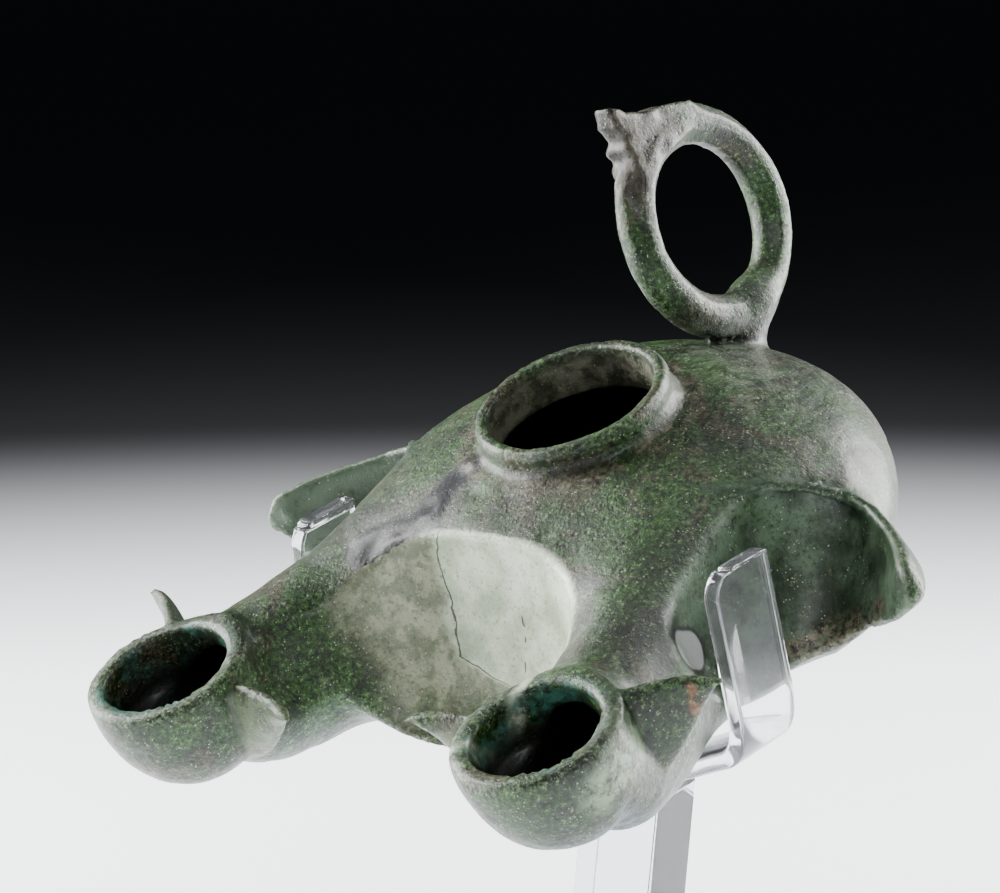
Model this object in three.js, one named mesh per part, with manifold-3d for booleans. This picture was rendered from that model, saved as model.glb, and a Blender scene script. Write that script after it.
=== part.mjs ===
// A Roman bronze lamp with two nozzles, tilted nose-down on a clear acrylic display cradle.
// Millimetres, +Z up, +X towards the nozzles, +Y to the lamp's left.
// The origin is the middle of the cradle foot's underside.
import * as THREE from "three";
import { mergeVertices } from "three/addons/utils/BufferGeometryUtils.js";
import Module from "manifold-3d";

const wasm = await Module();
wasm.setup();

// ---------------------------------------------------------------- driving dimensions
const gap = 0.3;
const wall = 3.2;

const lampTilt = THREE.MathUtils.degToRad(29);
const rimCentre = new THREE.Vector3(18, 0, 110);

// Everything on the lamp is measured from the middle of the filler collar's top rim.
const collarRadius = 16.5;
const fillerRadius = 14.2;
const collarFlare = 0.9;
const collarHeight = 5.2;

const domeCentreX = 3.9;
const domeCentreZ = -26.6;
const domeRadius = 49;
const domeRise = 23;
const domeDepth = 20.6;
const baseRadius = 21;
const baseStep = 1.6;

const mouth = new THREE.Vector3(68, 38.6, -9.8);
const mouthRadius = 10.2;
const headRadius = 13.5;
const leftHeadDepth = 18.4;
const rightHeadDepth = 19.8;
const nozzleTurn = THREE.MathUtils.degToRad(25);

const hornReach = 26;
const hornSetback = 9;
const hornHeight = 16;
const innerHornDrop = 0.15;

const ringCentre = new THREE.Vector3(-44.1, 0, 5.7);
const ringRadius = 16.5;
const ringThickness = 3.9;
const ringTurn = THREE.MathUtils.degToRad(3);
const ringLean = THREE.MathUtils.degToRad(-14.5);

const stripWidth = 14;
const stripThickness = 3;
const postWidth = 16;
const postDepth = 11;
const footSize = 84;
const footThickness = 8;

// ---------------------------------------------------------------- solids from meshes
function toSolid(geometry) {
  const bare = geometry.index ? geometry.toNonIndexed() : geometry.clone();
  bare.deleteAttribute("normal");
  bare.deleteAttribute("uv");
  const merged = mergeVertices(bare, 1e-4);
  const points = merged.attributes.position.array;
  const corners = merged.index.array;
  const kept = [];
  let volume = 0;
  const [a, b, c] = [new THREE.Vector3(), new THREE.Vector3(), new THREE.Vector3()];
  for (let i = 0; i < corners.length; i += 3) {
    const [p, q, r] = [corners[i], corners[i + 1], corners[i + 2]];
    if (p === q || q === r || r === p) continue;
    kept.push(p, q, r);
    a.fromArray(points, 3 * p);
    b.fromArray(points, 3 * q);
    c.fromArray(points, 3 * r);
    volume += a.dot(b.cross(c));
  }
  if (volume < 0) kept.reverse();
  const triVerts = new Uint32Array(kept);
  const vertProperties = new Float32Array(points);
  return new wasm.Manifold(new wasm.Mesh({ numProp: 3, vertProperties, triVerts }));
}

function toGeometry(solid) {
  const mesh = solid.getMesh();
  const geometry = new THREE.BufferGeometry();
  geometry.setAttribute("position", new THREE.BufferAttribute(mesh.vertProperties, 3));
  geometry.setIndex(new THREE.BufferAttribute(mesh.triVerts, 1));
  return geometry;
}

const join = (solids) => solids.reduce((all, next) => all.add(next));

// A solid of revolution about Z through (x, y): each profile entry is [radius, height].
function turned(profile, segments, x = 0, y = 0) {
  const points = profile.map(([radius, height]) => new THREE.Vector2(radius, height));
  const geometry = new THREE.LatheGeometry(points, segments);
  geometry.rotateX(Math.PI / 2);
  geometry.translate(x, y, 0);
  return toSolid(geometry);
}

// A closed skin over rings of equal length, with a fan on each end.
function loft(rings) {
  const size = rings[0].length;
  const positions = rings.flat();
  const faces = [];
  for (let row = 0; row + 1 < rings.length; row += 1) {
    for (let k = 0; k < size; k += 1) {
      const next = (k + 1) % size;
      const a = row * size + k;
      const b = row * size + next;
      faces.push(a, b, b + size, a, b + size, a + size);
    }
  }
  for (const [row, forward] of [[0, false], [rings.length - 1, true]]) {
    const middle = positions.length;
    const centre = new THREE.Vector3();
    rings[row].forEach((point) => centre.addScaledVector(point, 1 / size));
    positions.push(centre);
    for (let k = 0; k < size; k += 1) {
      const a = row * size + k;
      const b = row * size + ((k + 1) % size);
      faces.push(middle, forward ? a : b, forward ? b : a);
    }
  }
  const geometry = new THREE.BufferGeometry().setFromPoints(positions);
  geometry.setIndex(faces);
  return toSolid(geometry);
}

// An ellipse of points about a centre, spanned by two half-axis vectors.
function ellipse(centre, halfU, halfV, count) {
  const points = [];
  for (let k = 0; k < count; k += 1) {
    const angle = (2 * Math.PI * k) / count;
    const point = centre.clone().addScaledVector(halfU, Math.cos(angle));
    points.push(point.addScaledVector(halfV, Math.sin(angle)));
  }
  return points;
}

// ---------------------------------------------------------------- the body
// The dome's half profile, pulled in by `inset` for the hollow inside the wall.
function domeProfile(inset, steps) {
  const profile = [];
  const radius = domeRadius - inset;
  for (let k = 0; k <= steps; k += 1) {
    const angle = (Math.PI / 2) * (1 - k / steps);
    profile.push([radius * Math.cos(angle), domeCentreZ + (domeRise - inset) * Math.sin(angle)]);
  }
  for (let k = 1; k <= steps; k += 1) {
    const angle = (Math.PI / 2) * (k / steps);
    const depth = (domeDepth - inset) * Math.sin(angle) ** 0.9;
    profile.push([radius * Math.cos(angle) ** 0.8, domeCentreZ - depth]);
  }
  profile[0][0] = 0;
  profile[2 * steps][0] = 0;
  return profile;
}

function body(inset, segments, steps) {
  return turned(domeProfile(inset, steps), segments, domeCentreX);
}

function baseDisc() {
  const floor = domeCentreZ - domeDepth;
  const under = floor - baseStep;
  const profile = [[0, floor + 6], [baseRadius + 1, floor + 6], [baseRadius, under]];
  profile.push([baseRadius - 3, under], [baseRadius - 4, under + 1], [0, under + 1]);
  return turned(profile, 40, domeCentreX);
}

function collar() {
  const low = -collarHeight;
  const profile = [[0, -12], [collarRadius + collarFlare, -12], [collarRadius + collarFlare, low]];
  profile.push([collarRadius, low + 1.6], [collarRadius + 0.2, -1.2], [collarRadius - 0.4, 0], [0, 0]);
  return turned(profile, 40);
}

function fillerHole() {
  const profile = [[0, -16], [fillerRadius + 0.4, -16], [fillerRadius, -2], [fillerRadius + 0.5, 1]];
  profile.push([0, 1]);
  return turned(profile, 40);
}

// ---------------------------------------------------------------- necks and nozzle heads
// A neck leaves the dome sideways and then bends forward. Each station gives the middle of its
// section, the half width and the half height.
const neckStations = [
  [0, 12, -24, 13, 14],
  [16, 22.5, -24.5, 13, 14.8],
  [30, 29.5, -25, 12, 14.6],
  [42, 33.5, -25, 11.6, 14.6],
  [53, 36, -24, 12, 13.8],
  [62, 37.6, -22.2, 12.4, 11.4],
  [67, 38, -19.8, 11.6, 8.4],
];

function neck(side, inset, count) {
  const path = neckStations.map(([x, y]) => new THREE.Vector2(x, y));
  const rings = neckStations.map(([x, y, z, halfWidth, halfHeight], k) => {
    const ahead = path[Math.min(k + 1, path.length - 1)];
    const along = ahead.clone().sub(path[Math.max(k - 1, 0)]).normalize();
    const across = new THREE.Vector3(-along.y, along.x, 0).multiplyScalar(halfWidth - inset);
    const up = new THREE.Vector3(0, 0, halfHeight - inset);
    return ellipse(new THREE.Vector3(x, y, z), across, up, count);
  });
  rings.flat().forEach((point) => { point.y *= side; });
  return loft(rings);
}

// The cup under the wick mouth: radius against depth below the rim.
const cupProfile = [[1, 0], [1.02, 0.12], [0.97, 0.4], [0.84, 0.65], [0.6, 0.86], [0.3, 0.97]];

function head(side, inset, segments) {
  const radius = headRadius - inset;
  const depth = (side > 0 ? leftHeadDepth : rightHeadDepth) - inset;
  const profile = cupProfile.map(([r, d]) => [radius * r, mouth.z - depth * d]);
  profile.unshift([0, mouth.z]);
  profile.push([0, mouth.z - depth]);
  return turned(profile, segments, mouth.x, side * mouth.y);
}

function wickHole(side) {
  const profile = [[0, mouth.z - 9], [mouthRadius, mouth.z - 9], [mouthRadius, mouth.z - 1]];
  profile.push([mouthRadius + 0.6, mouth.z + 1], [0, mouth.z + 1]);
  return turned(profile, 24, mouth.x, side * mouth.y);
}

// A horn is a thin upright fin beside a nozzle head, tapering to a point at its top corner.
// Stations run outwards: [reach, setback, top, bottom, thickness] as shares of the horn's sizes.
const hornStations = [
  [0.3, 0.55, 0.02, 1.12, 6.4],
  [0.5, 0.75, 0.03, 1.06, 4.8],
  [0.68, 0.9, 0.06, 0.85, 3.6],
  [0.84, 1, 0.11, 0.57, 2.8],
  [0.95, 1, 0.16, 0.36, 2.2],
  [1, 0.97, 0.19, 0.27, 1.5],
];

// Each horn was bent by hand, so their tips stand a little higher than the stations say.
const hornLifts = { left: { outer: 1, inner: 2.8 }, right: { outer: 2.2, inner: 0 } };

function horn(side, outward) {
  const turn = side * nozzleTurn;
  const along = new THREE.Vector3(Math.cos(turn), Math.sin(turn), 0);
  const lateral = new THREE.Vector3(-Math.sin(turn), Math.cos(turn), 0).multiplyScalar(outward * side);
  const root = new THREE.Vector3(mouth.x, side * mouth.y, mouth.z);
  const lift = hornLifts[side > 0 ? "left" : "right"][outward > 0 ? "outer" : "inner"];
  const rings = hornStations.map(([reach, setback, top, bottom, thickness]) => {
    const middle = root.clone().addScaledVector(lateral, reach * hornReach);
    const upper = outward > 0 ? top : top + innerHornDrop * (1 - reach);
    middle.addScaledVector(along, -setback * hornSetback);
    middle.z += lift * reach ** 2 - (hornHeight * (upper + bottom)) / 2;
    const halfUp = new THREE.Vector3(0, 0, (hornHeight * (bottom - upper)) / 2);
    return ellipse(middle, along.clone().multiplyScalar(thickness / 2), halfUp, 10);
  });
  return loft(rings);
}

// ---------------------------------------------------------------- body wings and hollows
// A form given by a closed plan outline, a heart point inside it, and slices that each say how
// far the outline spreads from the heart at a height. `grow` pushes it out all round.
function slicedForm({ plan, heart, slices }, side, grow, count) {
  const knots = plan.map(([x, y]) => new THREE.Vector3(x, y, 0));
  const outline = new THREE.CatmullRomCurve3(knots, true).getPoints(count).slice(0, -1);
  const middle = new THREE.Vector3(heart[0], heart[1], 0);
  const rings = slices.map(([z, spread]) => outline.map((point) => {
    const arm = point.clone().sub(middle);
    arm.setLength(arm.length() * spread + grow).add(middle);
    return new THREE.Vector3(arm.x, side * arm.y, z);
  }));
  return loft(rings);
}

// A wing is the fin on each side of the body, outlined from the rear round to the front.
const wingForm = {
  plan: [
    [-20, 26], [-14, 37], [-8, 46], [-4, 53], [0, 59], [4.5, 64.5],
    [9, 68], [12, 68.6], [17, 66], [22, 56], [24, 42], [16, 26], [-4, 18],
  ],
  heart: [4, 30],
  slices: [
    [-18.4, 0.86], [-19, 0.91], [-21.5, 0.98], [-24, 0.99], [-26.5, 0.92], [-29, 0.82], [-32, 0.67],
    [-36, 0.52], [-40, 0.4],
  ],
};

// The three hollows pressed into the body between its lobes.
const middleHollow = {
  plan: [
    [29.5, 0], [30.5, 14], [35.5, 22], [46, 27.5], [58, 30.5], [76, 28], [92, 0],
    [76, -28], [58, -30.5], [46, -27.5], [35.5, -22], [30.5, -14],
  ],
  heart: [54, 0],
  slices: [[6, 1.04], [-6, 1], [-14, 0.95], [-22, 0.85], [-30, 0.68], [-38, 0.44], [-46, 0.2]],
};
const sideHollow = {
  plan: [
    [-5.5, 46], [-1.5, 54], [4, 60.5], [9.5, 65], [12.5, 69], [20, 78], [34, 78],
    [44, 64], [42, 48], [35, 40], [27, 37.5], [17, 36.5], [8, 36.5], [0, 39.5],
  ],
  heart: [27, 50],
  slices: [
    [6, 1.05], [-8, 1.03], [-14, 1], [-19, 0.97], [-24, 0.89], [-29, 0.76], [-34, 0.57],
    [-39, 0.33], [-43, 0.12],
  ],
};

const sides = [1, -1];

function hollows(grow, count) {
  const sideCuts = sides.map((side) => slicedForm(sideHollow, side, grow, count));
  return join([slicedForm(middleHollow, 1, grow, count), ...sideCuts]);
}

// ---------------------------------------------------------------- ring handle
function ringFrame() {
  const across = new THREE.Vector3(Math.cos(ringTurn), Math.sin(ringTurn), 0);
  const sideways = new THREE.Vector3(-Math.sin(ringTurn), Math.cos(ringTurn), 0);
  const up = new THREE.Vector3(0, 0, Math.cos(ringLean)).addScaledVector(sideways, Math.sin(ringLean));
  const normal = new THREE.Vector3().crossVectors(across, up);
  return new THREE.Matrix4().makeBasis(across, up, normal).setPosition(ringCentre);
}

function ring() {
  const geometry = new THREE.TorusGeometry(ringRadius, ringThickness, 8, 34);
  geometry.applyMatrix4(ringFrame());
  return toSolid(geometry);
}

// The swelling that roots the ring on the rear of the dome.
function ringFoot() {
  const low = new THREE.Vector3(0, -ringRadius, 0).applyMatrix4(ringFrame());
  const rings = [[0, 5, 4.4], [4, 6, 4.8], [8, 7.6, 6.4], [12, 9, 8]].map(([drop, long, wide]) => {
    const middle = low.clone().add(new THREE.Vector3(drop * 0.8, -drop * 0.5, -drop));
    return ellipse(middle, new THREE.Vector3(long, 0, 0), new THREE.Vector3(0, wide, 0), 12);
  });
  return loft(rings);
}

// The broken root of the leaf that once stood on the ring, as an outline in the ring's plane.
const stubOutline = [
  [9.5, 13], [9.9, 18], [8.2, 21.5], [8.8, 24], [6.8, 27], [3, 24.6], [-3, 21.9],
  [-9, 18.6], [-11, 14.5], [0, 14],
];
const stubSlices = [[-3.6, 0.72], [-2.4, 0.93], [0, 1], [2.2, 0.95], [3.4, 0.7]];

function leafStub() {
  const frame = ringFrame();
  const rings = stubSlices.map(([offset, size]) => stubOutline.map(([x, y]) => {
    const point = new THREE.Vector3(x * size, 15 + (y - 15) * size, offset);
    return point.applyMatrix4(frame);
  }));
  return loft(rings);
}

// ---------------------------------------------------------------- the whole casting
function lampGeometry() {
  const lobes = sides.flatMap((side) => [neck(side, 0, 18), slicedForm(wingForm, side, 0, 36)]);
  const shell = join([body(0, 44, 7), ...lobes]).subtract(hollows(0, 30));
  const heads = sides.flatMap((side) => [head(side, 0, 24), horn(side, 1), horn(side, -1)]);
  const outside = join([shell, ...heads, baseDisc(), collar(), ring(), ringFoot(), leafStub()]);
  const bores = sides.map((side) => neck(side, wall, 12));
  const cavity = join([body(wall, 26, 5), ...bores]).subtract(hollows(wall, 16));
  const cups = sides.flatMap((side) => [head(side, wall, 16), wickHole(side)]);
  return toGeometry(outside.subtract(join([cavity, ...cups, fillerHole()])));
}

// ---------------------------------------------------------------- acrylic cradle
// Points of the cradle strip, measured from the collar rim's middle but level with the ground.
const stripTip = new THREE.Vector3(13, 43.4, -21.5);
const stripBend = new THREE.Vector3(6, 45, -50);
const stripSeat = new THREE.Vector3(-18, 5, -64);
const stripLean = Math.atan2(stripTip.x - stripBend.x, stripTip.z - stripBend.z);

// One leg of the strip as a rounded path from its tip to the seat on the post.
function stripPath() {
  const bendStart = stripBend.clone().lerp(stripTip, 0.25);
  const bendEnd = stripBend.clone().lerp(stripSeat, 0.16);
  const corner = new THREE.QuadraticBezierCurve3(bendStart, stripBend, bendEnd);
  const seatStart = stripSeat.clone().lerp(stripBend, 0.12);
  const middle = stripSeat.clone().setY(0);
  middle.z -= 1.6;
  const seat = new THREE.QuadraticBezierCurve3(seatStart, stripSeat, middle);
  return [stripTip, ...corner.getPoints(6), ...seat.getPoints(3)];
}

function stripGeometry() {
  const half = stripPath();
  const mirrored = half.slice(0, -1).reverse().map((point) => new THREE.Vector3(point.x, -point.y, point.z));
  const path = [...half, ...mirrored];
  const width = new THREE.Vector3(Math.cos(stripLean), 0, -Math.sin(stripLean));
  const rings = path.map((point, k) => {
    const ahead = path[Math.min(k + 1, path.length - 1)];
    const along = ahead.clone().sub(path[Math.max(k - 1, 0)]);
    const out = new THREE.Vector3().crossVectors(width, along).normalize();
    const halfWidth = stripWidth / 2 - (k === 0 || k === path.length - 1 ? 1.5 : 0);
    return [[1, 1], [-1, 1], [-1, -1], [1, -1]].map(([u, v]) => {
      const corner = point.clone().addScaledVector(width, u * halfWidth);
      return corner.addScaledVector(out, (v * stripThickness) / 2);
    });
  });
  return toGeometry(loft(rings));
}

function postGeometry() {
  const slope = Math.tan(stripLean);
  const seat = rimCentre.clone().add(stripSeat);
  const top = seat.z - 1.6 - stripThickness / 2 / Math.cos(stripLean) - gap;
  const footX = seat.x + 5.5;
  const corners = [[1, 1], [-1, 1], [-1, -1], [1, -1]];
  const low = corners.map(([u, v]) => new THREE.Vector3(footX + (u * postDepth) / 2, (v * postWidth) / 2,
    footThickness + gap));
  const high = corners.map(([u, v]) => new THREE.Vector3(seat.x + (u * postDepth) / 2, (v * postWidth) / 2,
    top - (u * postDepth * slope) / 2));
  return toGeometry(loft([low, high]));
}

function footGeometry() {
  const half = footSize / 2;
  const corner = 6;
  const bevel = 0.8;
  const outline = new THREE.Shape();
  const inner = half - bevel - corner;
  outline.absarc(inner, inner, corner, 0, Math.PI / 2);
  outline.absarc(-inner, inner, corner, Math.PI / 2, Math.PI);
  outline.absarc(-inner, -inner, corner, Math.PI, 1.5 * Math.PI);
  outline.absarc(inner, -inner, corner, 1.5 * Math.PI, 2 * Math.PI);
  const settings = { depth: footThickness - 2 * bevel, bevelSize: bevel, bevelThickness: bevel };
  const geometry = new THREE.ExtrudeGeometry(outline, { ...settings, bevelSegments: 1, curveSegments: 3 });
  geometry.translate(0, 0, bevel);
  return toGeometry(toSolid(geometry));
}

// ---------------------------------------------------------------- materials and scene
const bronze = new THREE.MeshStandardMaterial({ color: 0x4c6a50, roughness: 0.6, metalness: 0.25 });
const acrylic = new THREE.MeshStandardMaterial({ color: 0xe8eef0, roughness: 0.05, metalness: 0 });
acrylic.transparent = true;
acrylic.opacity = 0.35;

function piece(name, geometry, material) {
  const mesh = new THREE.Mesh(geometry, material);
  mesh.name = name;
  return mesh;
}

const part = new THREE.Group();

const tilted = new THREE.Group();
tilted.position.copy(rimCentre);
tilted.rotation.y = lampTilt;
tilted.add(piece("lamp", lampGeometry(), bronze));
part.add(tilted);

const strip = piece("cradle_strip", stripGeometry(), acrylic);
strip.position.copy(rimCentre);
part.add(strip);
part.add(piece("cradle_post", postGeometry(), acrylic));
part.add(piece("cradle_foot", footGeometry(), acrylic));

export default part;
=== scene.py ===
# %% [markdown]
# # A Roman bronze lamp with two nozzles, on a clear acrylic cradle
#
# The lamp was cast hollow in bronze by the lost-wax method: a wax model with a clay core was
# buried in clay, the wax melted out, and metal took its place. The lamp is one skin of metal
# with no seams, so here it is also one mesh. We start by loading the measured frame, which
# holds the same object as plain faceted solids.

# %% Load the measured frame
import math
import bpy
import numpy as np
from mathutils import Matrix, Vector


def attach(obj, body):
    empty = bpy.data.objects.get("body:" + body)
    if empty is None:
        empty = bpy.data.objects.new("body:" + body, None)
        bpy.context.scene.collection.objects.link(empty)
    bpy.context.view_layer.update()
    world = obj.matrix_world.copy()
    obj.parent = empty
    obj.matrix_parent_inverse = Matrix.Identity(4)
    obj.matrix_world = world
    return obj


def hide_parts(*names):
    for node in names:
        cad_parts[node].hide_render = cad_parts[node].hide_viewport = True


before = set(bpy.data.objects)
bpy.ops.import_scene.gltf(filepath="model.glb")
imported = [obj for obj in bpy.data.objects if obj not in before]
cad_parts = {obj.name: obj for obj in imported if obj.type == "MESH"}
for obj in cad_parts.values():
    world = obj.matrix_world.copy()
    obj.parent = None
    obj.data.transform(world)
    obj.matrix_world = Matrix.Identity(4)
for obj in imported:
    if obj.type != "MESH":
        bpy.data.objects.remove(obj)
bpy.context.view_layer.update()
print("frame holds", sorted(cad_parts))

# %% [markdown]
# ## Where the lamp sits
#
# Every size on the lamp is measured in millimetres from the middle of the filler collar's top
# rim, with x towards the nozzles and z along the collar's axis. On display the lamp is tipped
# nose-down by 29 degrees. One small matrix takes a point from the lamp's own axes to the
# display's, so that each form below can be described in the simple, untilted frame.

# %% The lamp's own axes
MM = 0.001
LAMP_TILT = math.radians(29)
RIM_CENTRE = np.array([18.0, 0.0, 110.0])
WALL = 3.2

TILT = np.array([
    [math.cos(LAMP_TILT), 0.0, math.sin(LAMP_TILT)],
    [0.0, 1.0, 0.0],
    [-math.sin(LAMP_TILT), 0.0, math.cos(LAMP_TILT)],
])


def on_display(points):
    """Lamp millimetres to display metres."""
    return (np.asarray(points) @ TILT.T + RIM_CENTRE) * MM


print("collar rim is at", np.round(on_display([[0, 0, 0]])[0], 4))

# %% [markdown]
# ## The camera
#
# A long lens from about two thirds of a metre keeps the perspective gentle, as in a museum
# catalogue. The camera stands in front of the lamp and to its left, seven degrees above
# level. We give it a place and three axes: right, up, and back towards the camera.

# %% Camera
SENSOR_MM = 36.0
LENS_MM = 144.0
FARTHEST_SEEN = 50.0
EYE = Vector((0.5133, 0.4127, 0.1859))
CAMERA_RIGHT = Vector((-0.6528, 0.7575, -0.0064)).normalized()
CAMERA_UP = Vector((-0.1023, -0.0797, 0.9916))
CAMERA_BACK = CAMERA_RIGHT.cross(CAMERA_UP).normalized()
CAMERA_UP = CAMERA_BACK.cross(CAMERA_RIGHT)

lens = bpy.data.cameras.new("museum_lens")
lens.sensor_width = SENSOR_MM
lens.lens = LENS_MM
lens.clip_end = FARTHEST_SEEN
camera = bpy.data.objects.new("museum_camera", lens)
bpy.context.scene.collection.objects.link(camera)
axes = Matrix((CAMERA_RIGHT, CAMERA_UP, CAMERA_BACK)).transposed().to_4x4()
camera.matrix_world = Matrix.Translation(EYE) @ axes
bpy.context.scene.camera = camera
print("camera is", round(EYE.length, 3), "m from the foot")

# %% [markdown]
# ## Shapes as distance fields
#
# The lamp is all soft joins: necks melt into the body, wings are pulled out of it, and
# hollows are pressed in. Such a form is easy to describe by a distance field, a function that
# is negative inside the metal, zero on its skin and positive outside. Two fields are joined
# with a small fillet by blending where they are about equally far away, and one is cut from
# another the same way. At the end one skin is pulled over the zero level.

# %% Joining and cutting fields
def join_soft(a, b, fillet):
    overlap = np.maximum(fillet - np.abs(a - b), 0.0) / fillet
    return np.minimum(a, b) - overlap * overlap * fillet * 0.25


def cut_soft(a, b, fillet):
    return -join_soft(-a, b, fillet)


def smooth_table(knots, count=160):
    """Rows of numbers made into a fine table, with smooth changes between the knots."""
    knots = np.asarray(knots, float)
    at = knots[:, 0]
    fine = np.linspace(at[0], at[-1], count)
    columns = [fine]
    for k in range(1, knots.shape[1]):
        value = knots[:, k]
        slope = np.gradient(value, at)
        i = np.clip(np.searchsorted(at, fine) - 1, 0, len(at) - 2)
        step = at[i + 1] - at[i]
        t = (fine - at[i]) / step
        curve = (2 * t**3 - 3 * t**2 + 1) * value[i] + (t**3 - 2 * t**2 + t) * step * slope[i]
        curve += (3 * t**2 - 2 * t**3) * value[i + 1] + (t**3 - t**2) * step * slope[i + 1]
        columns.append(curve)
    return np.array(columns)


print("fillet helper joins 1 and 1 into", float(join_soft(np.array(1.0), np.array(1.0), 2.0)))

# %% [markdown]
# ## The body
#
# The oil chamber is a low dome over a slightly shallower bowl. Both halves are stretched
# balls: the share of the way out from the centre is found first, and the distance follows
# from it. The bowl's powers are above two, which makes it fuller than a ball. Such a distance
# is only an estimate, so it is eased a little. A low ring under the bowl is the foot that the
# lamp once stood on.

# %% The dome and the bowl under it
DOME_CENTRE_X = 3.9
DOME_CENTRE_Z = -26.6
DOME_RADIUS = 49.0
DOME_RISE = 23.0
DOME_DEPTH = 20.6
BOWL_OUT_POWER = 2.5
BOWL_DOWN_POWER = 2.22
BOWL_JOIN_POWER = 2.36
DOME_EASE = 0.9
ROUND_EASE = 0.95
LEAST_SHARE = 0.05
BASE_RADIUS = 21.0
BASE_STEP = 1.6
BASE_HALF_BAND = 2.0
BASE_HEIGHT = 7.0


def dome(x, y, z, inset=0.0):
    out = np.hypot(x - DOME_CENTRE_X, y)
    up = z - DOME_CENTRE_Z
    flat = out / (DOME_RADIUS - inset)
    top = np.sqrt(flat**2 + (np.maximum(up, 0) / (DOME_RISE - inset))**2)
    down = np.maximum(-up, 0) / (DOME_DEPTH - inset)
    low = (flat**BOWL_OUT_POWER + down**BOWL_DOWN_POWER)**(1 / BOWL_JOIN_POWER)
    share = np.maximum(np.where(up > 0, top, low), LEAST_SHARE)
    return np.hypot(out, up) * (1 - 1 / share) * DOME_EASE


def base_ring(x, y, z):
    out = np.hypot(x - DOME_CENTRE_X, y)
    under = DOME_CENTRE_Z - DOME_DEPTH - BASE_STEP
    band = np.abs(out - BASE_RADIUS + BASE_HALF_BAND) - BASE_HALF_BAND
    return cut_soft(cut_soft(band, z - under, 1.0), under + BASE_HEIGHT - z, 1.0)


print("dome is", 2 * DOME_RADIUS, "mm across")

# %% [markdown]
# ## The necks
#
# Each neck leaves the dome sideways and then bends forward. How far its middle line lies
# out to the side and up, and its half width and half height, are listed at seven stations
# and smoothed in between. Both necks come from one list, by taking the distance from the
# lamp's middle plane instead of y.

# %% Necks
NECK_STATIONS = [
    (0, 12, -24, 13, 14), (16, 22.5, -24.5, 13, 14.8), (30, 29.5, -25, 12, 14.6),
    (42, 33.5, -25, 11.6, 14.6), (53, 36, -24, 12, 13.8), (62, 37.6, -22.2, 12.4, 11.4),
    (67, 38, -19.8, 11.6, 8.4),
]
NECK_END = NECK_STATIONS[-1][0]
NECK_NOSE = 9.0
neck_table = smooth_table(NECK_STATIONS)
neck_slope = np.gradient(neck_table[1], neck_table[0])


def neck(x, y, z, inset=0.0):
    along = np.clip(x, 0, NECK_END)
    line, middle, wide, high = (np.interp(along, neck_table[0], row) for row in neck_table[1:])
    turn = np.interp(along, neck_table[0], neck_slope)
    side = (np.abs(y) - line) / np.hypot(1, turn)
    past = np.abs(x - along) / NECK_NOSE
    up = z - middle
    share = np.sqrt((side / (wide - inset))**2 + (up / (high - inset))**2 + past**2)
    share = np.maximum(share, LEAST_SHARE)
    return np.sqrt(side**2 + up**2 + (x - along)**2) * (1 - 1 / share) * ROUND_EASE


print("a neck is", round(2 * float(neck_table[3].min()), 1), "mm wide at its waist")

# %% [markdown]
# ## The nozzle heads
#
# A head is a flat-topped cup, turned about its own upright axis. Its outline could be given as
# radius against height, but that fails where the bottom is nearly flat. So it is stored as
# reach against angle from a point inside the cup, its heart, which copes with steep and flat
# parts alike. The lamp's left head, on the +y side, is a little shallower than the right one.

# %% Nozzle heads
MOUTH = np.array([68.0, 38.6, -9.8])
MOUTH_RADIUS = 10.2
HEAD_RADIUS = 13.5
HEAD_DEPTH = 19.8
LEFT_HEAD_DEPTH = 18.4
LEFT_HEAD_SHARE = LEFT_HEAD_DEPTH / HEAD_DEPTH
CUP_PROFILE = [(1, 0), (1.02, 0.12), (0.97, 0.4), (0.84, 0.65), (0.6, 0.86), (0.3, 0.97), (0, 1)]
CUP_HEART = 0.3
CUP_RISE = 12.0


def cup_table(inset):
    radius = HEAD_RADIUS - inset
    depth = HEAD_DEPTH - inset
    heart = CUP_HEART * HEAD_DEPTH
    corner = [(radius * r, heart - depth * d) for r, d in CUP_PROFILE]
    corner = [(radius, heart + CUP_RISE)] + corner
    reach = [math.hypot(*p) for p in corner]
    angle = [math.atan2(h, r) for r, h in corner]
    return smooth_table(sorted(zip(angle, reach)))


CUP_TABLES = {inset: cup_table(inset) for inset in (0.0, WALL)}


def cup(x, y, z, inset=0.0):
    out = np.hypot(x - MOUTH[0], np.abs(y) - MOUTH[1])
    up = (z - MOUTH[2]) / np.where(y > 0, LEFT_HEAD_SHARE, 1.0) + CUP_HEART * HEAD_DEPTH
    table = CUP_TABLES[inset]
    reach = np.interp(np.arctan2(up, out), table[0], table[1])
    return (np.hypot(out, up) - reach) * ROUND_EASE


def head(x, y, z):
    return cut_soft(cup(x, y, z), MOUTH[2] - z, 0.8)


print("cup outline has", CUP_TABLES[0.0].shape[1], "steps")

# %% [markdown]
# ## The horns
#
# Two thin fins reach out from each nozzle head, one to either side of the mouth. Each station
# below gives how far out it is, how far the fin has swept back there, its top and bottom edge,
# and how thick it is. The inner fins start lower and taper faster, and the left nozzle's
# inner fin is also shorter. No two tips are lifted alike, as the wax was shaped by hand.

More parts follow.
